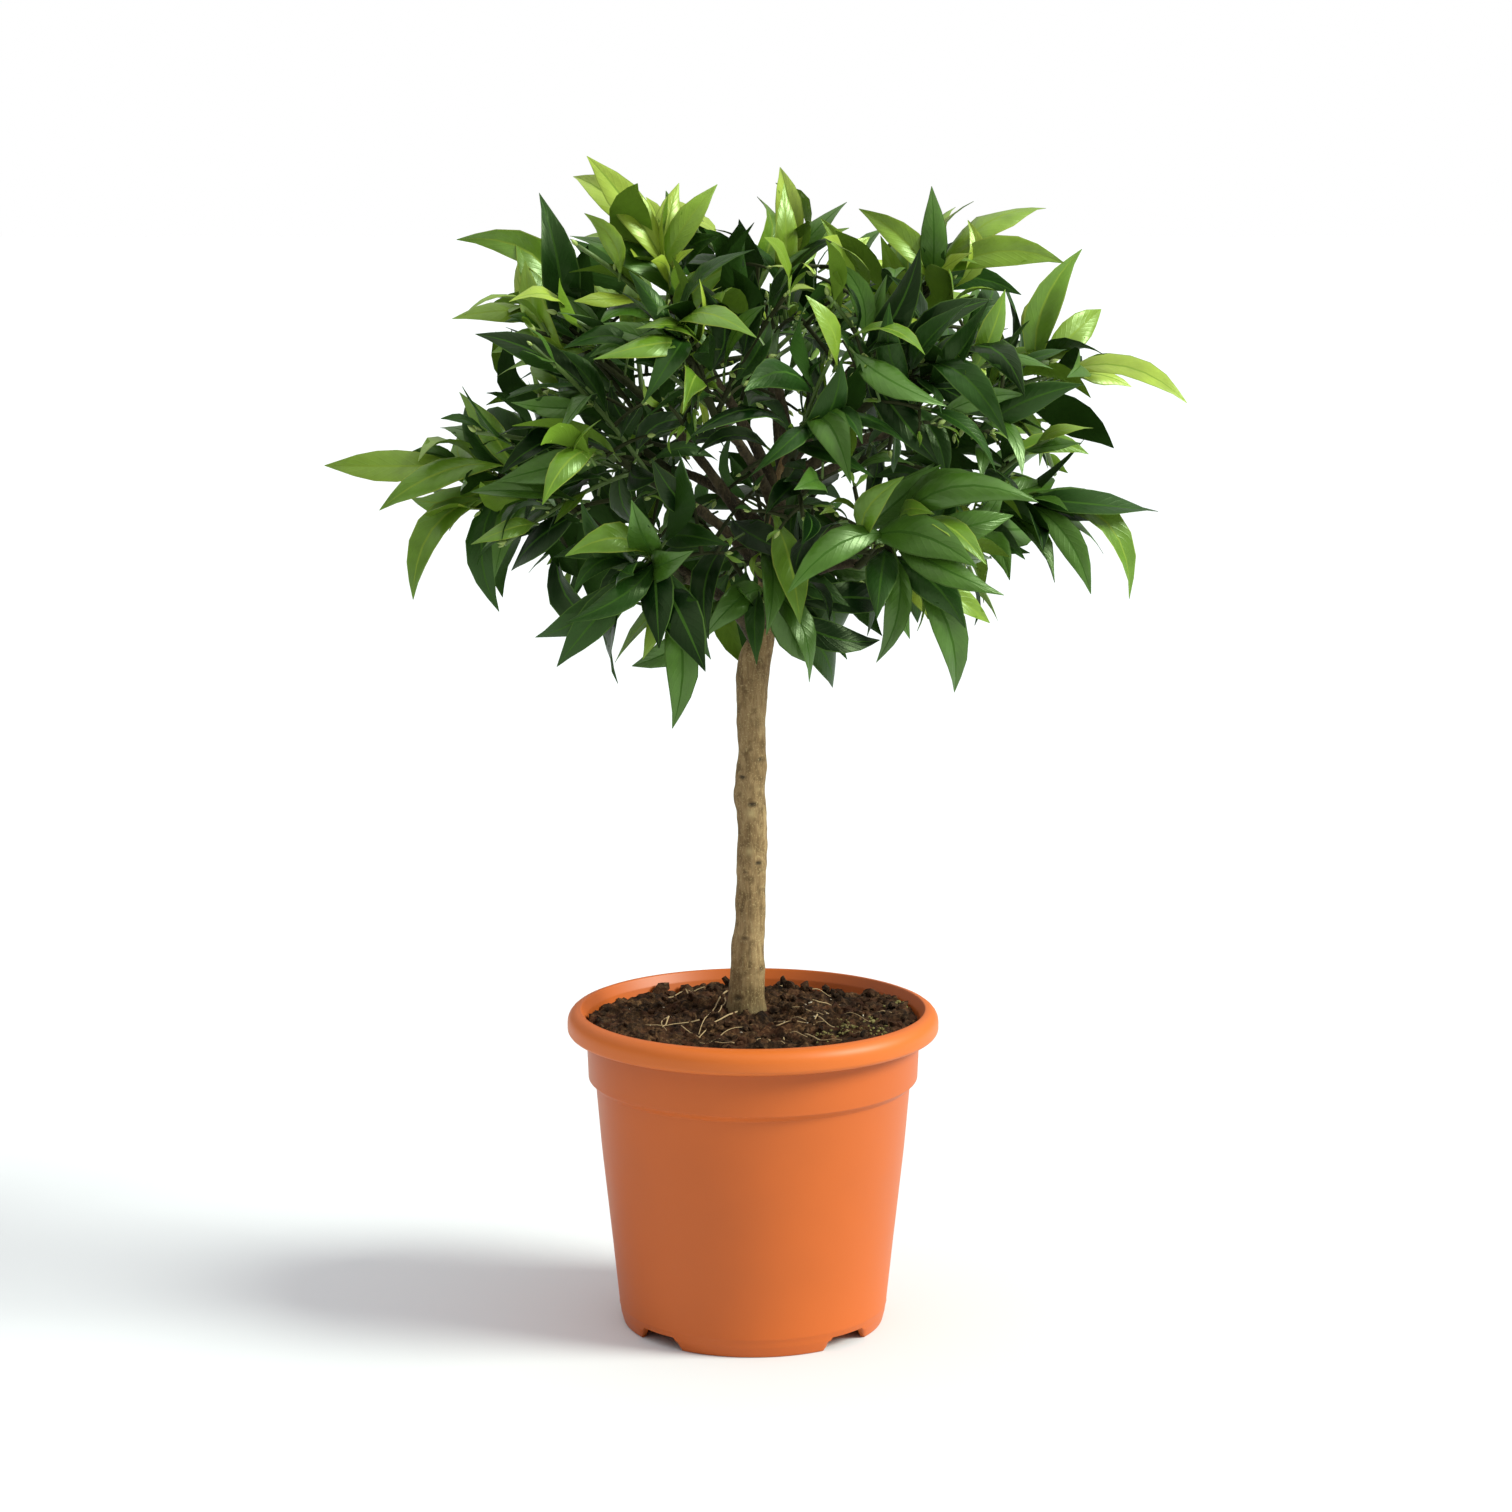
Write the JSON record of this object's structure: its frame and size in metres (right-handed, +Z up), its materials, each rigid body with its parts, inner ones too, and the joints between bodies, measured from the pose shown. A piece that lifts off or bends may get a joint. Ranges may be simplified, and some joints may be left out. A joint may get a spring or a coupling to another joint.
{
  "type": "potted kumquat",
  "caption": "Small standard citrus tree with a bushy round head of pointed glossy leaves on a slim bare trunk, in a terracotta-coloured nursery pot.",
  "frame": {"origin": "on the floor under the middle of the pot, at the centre of the pot's flat underside", "axes": "+Z up along the pot's axis; -Y is the front of the tree, the side that the picture shows; +X is to the right as seen from the front"},
  "size_m": [0.47, 0.3467, 0.657],
  "materials": {
    "terracotta_plastic": "smooth injection-moulded plastic with a soft sheen, terracotta orange",
    "peat": "damp lumpy peat, matt and dark brown",
    "bark": "grey-brown young citrus bark, matt, finely cracked",
    "foliage": "glossy dark green leaves, paler underneath"
  },
  "bodies": {
    "root": {"pot": "terracotta_plastic", "soil": "peat", "trunk": "bark", "bough_left_low": "bark", "bough_left_upper": "bark", "bough_top_left": "bark", "bough_top_mid": "bark", "bough_top_right": "bark", "bough_right_upper": "bark", "bough_right_low": "bark", "bough_front_right_low": "bark", "bough_front_left_low": "bark", "bough_front_low": "bark", "bough_front_middle": "bark", "bough_front_left_upper": "bark", "bough_front_right_upper": "bark", "bough_left_front": "bark", "bough_back_low": "bark", "bough_back_left": "bark", "bough_back_right": "bark", "bough_back_top": "bark", "foliage_left_low": "foliage", "foliage_left_upper": "foliage", "foliage_top_left": "foliage", "foliage_top_mid": "foliage", "foliage_top_right": "foliage", "foliage_right_upper": "foliage", "foliage_right_low": "foliage", "foliage_front_right_low": "foliage", "foliage_front_left_low": "foliage", "foliage_front_low": "foliage", "foliage_front_middle": "foliage", "foliage_front_left_upper": "foliage", "foliage_front_right_upper": "foliage", "foliage_left_front": "foliage", "foliage_back_low": "foliage", "foliage_back_left": "foliage", "foliage_back_right": "foliage", "foliage_back_top": "foliage"}
  },
  "joints": []
}
